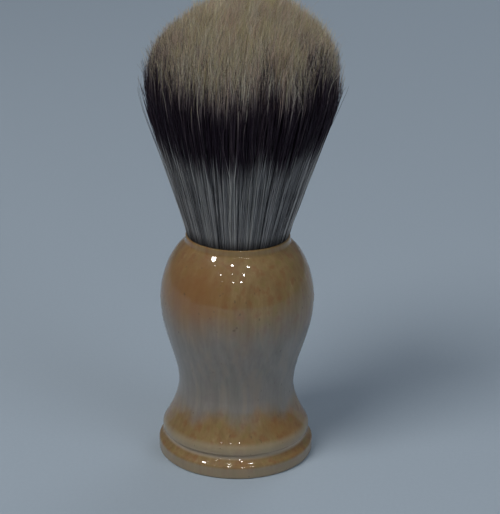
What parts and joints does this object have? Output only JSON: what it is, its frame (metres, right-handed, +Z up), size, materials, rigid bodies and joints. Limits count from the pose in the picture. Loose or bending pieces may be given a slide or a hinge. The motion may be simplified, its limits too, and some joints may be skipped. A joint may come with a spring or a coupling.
{
  "type": "shaving brush",
  "caption": "Shaving brush: turned lacquered wooden handle with a bulb, waist and ringed foot, and a domed knot of banded hair that bends under sprung hinges.",
  "frame": {"origin": "centre of the handle's flat underside", "axes": "+Z up the brush's axis towards the hair tips, -Y towards the viewer, +X to the right"},
  "size_m": [0.0422, 0.0422, 0.106],
  "materials": {
    "lacquered_wood": "turned pale wood with fine upright grain under clear gloss lacquer",
    "epoxy": "cured clear-amber epoxy",
    "resin": "cast potting resin",
    "cord": "twisted cotton cord",
    "hair_grey": "straight grey animal hair with darker streaks",
    "hair_black": "near-black band of the same hair",
    "hair_cream": "cream tips of the same hair, soft and matt"
  },
  "bodies": {
    "handle": {"handle": "lacquered_wood", "socket_glue": "epoxy", "knot_plug": "resin", "binding_cord": "cord", "hair_root": "hair_grey"},
    "hair_lower": {"hair_lower": "hair_grey"},
    "hair_middle": {"hair_middle": "hair_black"},
    "hair_upper": {"hair_upper": "hair_black"},
    "hair_tips": {"hair_tips": "hair_cream"}
  },
  "joints": [
    {"name": "tuft_bend_front_back", "type": "hinge", "parent": "handle", "child": "hair_lower", "pos_m": [0, 0, 0.057], "axis": [1, 0, 0], "range_deg": [-12, 12], "stiffness_Nm_per_rad": 0.25},
    {"name": "tuft_bend_side", "type": "hinge", "parent": "hair_lower", "child": "hair_middle", "pos_m": [0, 0, 0.068], "axis": [0, 1, 0], "range_deg": [-12, 12], "stiffness_Nm_per_rad": 0.2},
    {"name": "tuft_bend_front_back_upper", "type": "hinge", "parent": "hair_middle", "child": "hair_upper", "pos_m": [0, 0, 0.079], "axis": [1, 0, 0], "range_deg": [-12, 12], "stiffness_Nm_per_rad": 0.08},
    {"name": "tuft_bend_side_upper", "type": "hinge", "parent": "hair_upper", "child": "hair_tips", "pos_m": [0, 0, 0.09], "axis": [0, 1, 0], "range_deg": [-12, 12], "stiffness_Nm_per_rad": 0.06}
  ],
  "couplings": [
    {"joint": "tuft_bend_front_back_upper", "follows": "tuft_bend_front_back", "ratio": 1},
    {"joint": "tuft_bend_side_upper", "follows": "tuft_bend_side", "ratio": 1}
  ]
}
